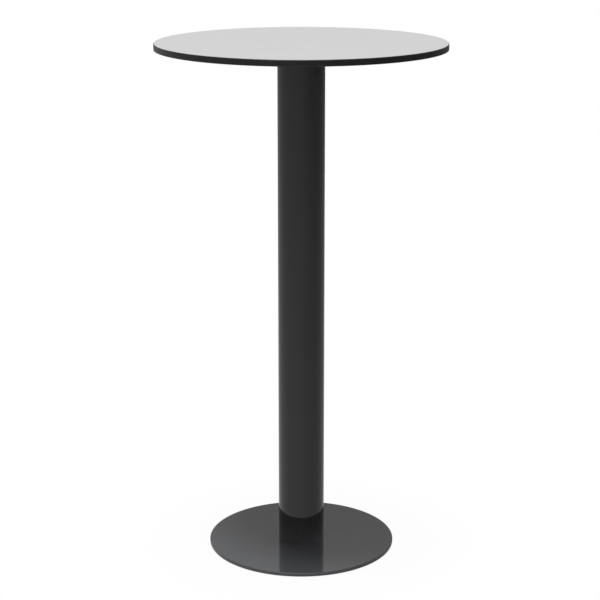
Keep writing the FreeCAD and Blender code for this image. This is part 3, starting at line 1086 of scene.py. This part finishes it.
def make_welds():
    """Weld beads on the spider: along each arm's sides under the hub, and across its web at the rim."""
    inner = column_radius + BEAD_RADIUS
    web_height = hub_underside + ARM_SHEET
    points = []
    edges = []
    for side in (-1, 1):
        y = side * ARM_HALF_WIDTH
        start = math.sqrt(inner**2 - y**2)
        end = math.sqrt(hub_radius**2 - y**2)
        edges.append((len(points), len(points) + 1))
        points += [(start, y, hub_underside), (end, y, hub_underside)]
    half_angle = math.asin((ARM_HALF_WIDTH - ARM_SHEET) / hub_radius)
    for i in range(WELD_ARC_STEPS + 1):
        angle = half_angle * (2 * i / WELD_ARC_STEPS - 1)
        if i > 0:
            edges.append((len(points) - 1, len(points)))
        points.append((hub_radius * math.cos(angle), hub_radius * math.sin(angle), web_height))
    lines = bpy.data.meshes.new("weld_lines")
    lines.from_pydata(points, edges, [])
    beads = {"Step": BEAD_STEP, "Bead Radius": BEAD_RADIUS}
    welds = grown("spider_welds", "spider_paint", lines, (WELD, beads), ring(TOP_FIXING_SPOKES, 0.0))
    dress(welds, "table", "spider_paint")


# Levelling feet


def make_stud():
    """A threaded stud on the vertical axis, with the flat head that the pad is moulded round."""
    root_radius = STUD_RADIUS - STUD_THREAD_DEPTH
    head_top = stud_bottom + STUD_HEAD_HEIGHT
    corners = [
        (0.0, stud_bottom),
        (STUD_HEAD_RADIUS, stud_bottom),
        (STUD_HEAD_RADIUS, head_top),
        (root_radius, head_top),
        (root_radius, stud_top - STUD_LEAD / 2),
        (root_radius - STUD_LEAD / 2, stud_top),
        (0.0, stud_top),
    ]
    thread_bottom = head_top + STUD_PITCH / 2
    thread = {
        "Root Radius": root_radius,
        "Depth": STUD_THREAD_DEPTH,
        "Pitch": STUD_PITCH,
        "Bottom": thread_bottom,
        "Height": stud_top - STUD_LEAD - thread_bottom,
    }
    return turned("foot_stud", "stud_steel", corners, SMALL_SEGMENTS, (THREAD, thread))


def make_pad():
    """A round nylon pad on the vertical axis, with finger grips round its rim."""
    recess_radius = STUD_HEAD_RADIUS + PAD_RECESS_GAP
    recess_floor = stud_bottom
    corners = [
        (0.0, pad_bottom),
        (pad_radius - PAD_CHAMFER, pad_bottom, PAD_EDGE_ROUND),
        (pad_radius, pad_bottom + PAD_CHAMFER, PAD_EDGE_ROUND),
        (pad_radius, pad_top, PAD_EDGE_ROUND),
        (recess_radius, pad_top),
        (recess_radius, recess_floor),
        (0.0, recess_floor),
    ]
    grips = {"Rim Radius": pad_radius, "Depth": PAD_GRIP_DEPTH, "Count": PAD_GRIPS}
    return turned("foot_pad", "glide_nylon", corners, PAD_SEGMENTS, (GRIPS, grips))


def make_feet():
    for pattern, part, slot in ((make_stud(), "stud", "stud_steel"), (make_pad(), "pad", "glide_nylon")):
        for number in range(1, FOOT_COUNT + 1):
            node_name = f"foot_{part}_{number}"
            place = centre(node_name)
            mesh = pattern.data.copy()
            mesh.transform(Matrix.Translation((place.x, place.y, 0.0)))
            piece = bpy.data.objects.new(f"levelling_{part}_{number}", mesh)
            bpy.context.scene.collection.objects.link(piece)
            dress(piece, f"foot_{number}_{part}", slot, node_name)
        bpy.data.objects.remove(pattern)


def paint_kept_nodes():
    """Gives the nodes that stay as they are the material of their slot."""
    for subpart in frame["record"]["subparts"]:
        kept = frame["nodes"][subpart["node"]]
        if not kept.hide_render:
            kept.data.materials.clear()
            kept.data.materials.append(MATERIALS[subpart["material_slot"]])


# Studio

FLOOR_SIZE = 40.0
FLOOR_DROP = 0.05 * MM
FLOOR_WHITE = 0.7
AMBIENT_LIGHT = 0.22

# The camera sees the floor as a white glow, and some shadow shows through it near the column's axis
SHADOW_WHOLE = 0.2
SHADOW_END = 0.45
SHADOW_GLOW_SHARE = 0.975

# The studio wall as gloss paint mirrors it: (height of the direction, brightness) at its foot and its top
WALL_FOOT = (0.366, 0.44)
WALL_TOP = (0.43, 0.66)

# The floor as gloss paint mirrors it, from its bright side round to its dim one.
# Each pair is a brightness at the column's axis, and a slope that dims it with the root of the distance
BRIGHT_SIDE = (-0.914, -0.407, 0.0)
BRIGHT_FLOOR = (0.821, -0.14)
DIM_FLOOR = (0.609, -0.163)
DIMMEST_FLOOR = 0.1
NEAREST_FLOOR = 0.2

# Lamp over the table, to the left and in front
SOFTBOX_PLACE = (-0.9, -1.05, 9.0)
SOFTBOX_AIM = (0.0, 0.0, 1.0)
SOFTBOX_SIZE = 1.4
SOFTBOX_POWER = 518.0

# Camera, at the photograph's angle and framing. Lens and sensor are in millimetres, the tilt in degrees
CAMERA_LENS = 100.743
CAMERA_SENSOR = 36.0
CAMERA_PLACE = (0.0, -3.42986, 1.47015)
CAMERA_TILT_DOWN = 15.0617
LEVEL_TILT = 90.0
IMAGE_SIZE = 600
TABLE_AXIS_PIXEL = 301.297


def floor_brightness(tree, distance):
    """How bright the floor is where a glossy face mirrors it."""
    distance = larger(tree, distance, NEAREST_FLOOR)
    inputs = {0: object_place(tree), 1: BRIGHT_SIDE}
    along = output_of(tree, "ShaderNodeVectorMath", "Value", inputs, operation="DOT_PRODUCT")
    side = ramp(tree, over(tree, along, distance), -1.0, 1.0)
    root = square_root(tree, distance)
    dim, bright = (times_plus(tree, root, slope, start) for start, slope in (DIM_FLOOR, BRIGHT_FLOOR))
    level = times_plus(tree, side, minus(tree, bright, dim), dim)
    return larger(tree, level, DIMMEST_FLOOR)


def ray_kinds(tree):
    """Whether a ray comes from the camera, and whether from a mirror or through glass."""
    path = add(tree, "ShaderNodeLightPath").outputs
    return path["Is Camera Ray"], larger(tree, path["Is Glossy Ray"], path["Is Transmission Ray"])


def floor_material():
    """Pale paint that the camera sees as white with a little shadow, and that isn't there from below."""
    made = bpy.data.materials.new("floor_white")
    made.use_nodes = True
    tree = made.node_tree
    tree.nodes.clear()
    seen, mirrored = ray_kinds(tree)
    distance = length_of(tree, object_place(tree))
    level = larger(tree, seen, times(tree, mirrored, floor_brightness(tree, distance)))
    glow_share = ramp(tree, distance, SHADOW_WHOLE, SHADOW_END, SHADOW_GLOW_SHARE, 1.0)
    share = times(tree, larger(tree, seen, mirrored), glow_share)
    plain = output_of(tree, "ShaderNodeBsdfDiffuse", "BSDF", {"Color": grey(FLOOR_WHITE)})
    glow = output_of(tree, "ShaderNodeEmission", "Emission", {"Color": grey(1.0), "Strength": level})
    lit = output_of(tree, "ShaderNodeMixShader", "Shader", {0: share, 1: plain, 2: glow})
    from_below = output_of(tree, "ShaderNodeNewGeometry", "Backfacing")
    clear = output_of(tree, "ShaderNodeBsdfTransparent", "BSDF")
    one_sided = output_of(tree, "ShaderNodeMixShader", "Shader", {0: from_below, 1: lit, 2: clear})
    add(tree, "ShaderNodeOutputMaterial", {"Surface": one_sided})
    return made


def make_floor():
    half = FLOOR_SIZE / 2
    corners = [(-half, -half), (half, -half), (half, half), (-half, half)]
    mesh = bpy.data.meshes.new("floor")
    mesh.from_pydata([(x, y, -FLOOR_DROP) for x, y in corners], [], [(0, 1, 2, 3)])
    mesh.materials.append(floor_material())
    floor = bpy.data.objects.new("floor", mesh)
    bpy.context.scene.collection.objects.link(floor)


def make_world():
    """White where the camera looks, and a plain grey studio for light and reflections."""
    world = bpy.data.worlds.new("studio")
    bpy.context.scene.world = world
    world.use_nodes = True
    tree = world.node_tree
    seen, mirrored = ray_kinds(tree)
    direction = output_of(tree, "ShaderNodeTexCoord", "Generated")
    wall = ramp(tree, parts_of(tree, direction)["Z"], WALL_FOOT[0], WALL_TOP[0], WALL_FOOT[1], WALL_TOP[1])
    light = ramp(tree, mirrored, 0.0, 1.0, AMBIENT_LIGHT, wall)
    background = tree.nodes["Background"]
    background.inputs["Color"].default_value = grey(1.0)
    plug(tree, background.inputs["Strength"], larger(tree, seen, light))


def make_softbox():
    lamp = bpy.data.lights.new("overhead_softbox", "AREA")
    lamp.size = SOFTBOX_SIZE
    lamp.energy = SOFTBOX_POWER
    softbox = bpy.data.objects.new("overhead_softbox", lamp)
    softbox.location = SOFTBOX_PLACE
    aim = Vector(SOFTBOX_AIM) - Vector(SOFTBOX_PLACE)
    softbox.rotation_euler = aim.to_track_quat("-Z", "Y").to_euler()
    softbox.visible_camera = False
    bpy.context.scene.collection.objects.link(softbox)


def make_camera():
    camera = bpy.data.cameras.new("camera")
    camera.sensor_width = CAMERA_SENSOR
    camera.lens = CAMERA_LENS
    camera.shift_x = (IMAGE_SIZE / 2 - TABLE_AXIS_PIXEL) / IMAGE_SIZE
    stand = bpy.data.objects.new("camera", camera)
    stand.location = CAMERA_PLACE
    stand.rotation_euler = (math.radians(LEVEL_TILT - CAMERA_TILT_DOWN), 0.0, 0.0)
    bpy.context.scene.collection.objects.link(stand)
    bpy.context.scene.camera = stand


make_top()
make_column()
make_base()
make_top_fixings()
make_base_screws()
make_welds()
make_feet()
paint_kept_nodes()
make_floor()
make_world()
make_softbox()
make_camera()
bpy.context.scene.view_settings.view_transform = "Standard"
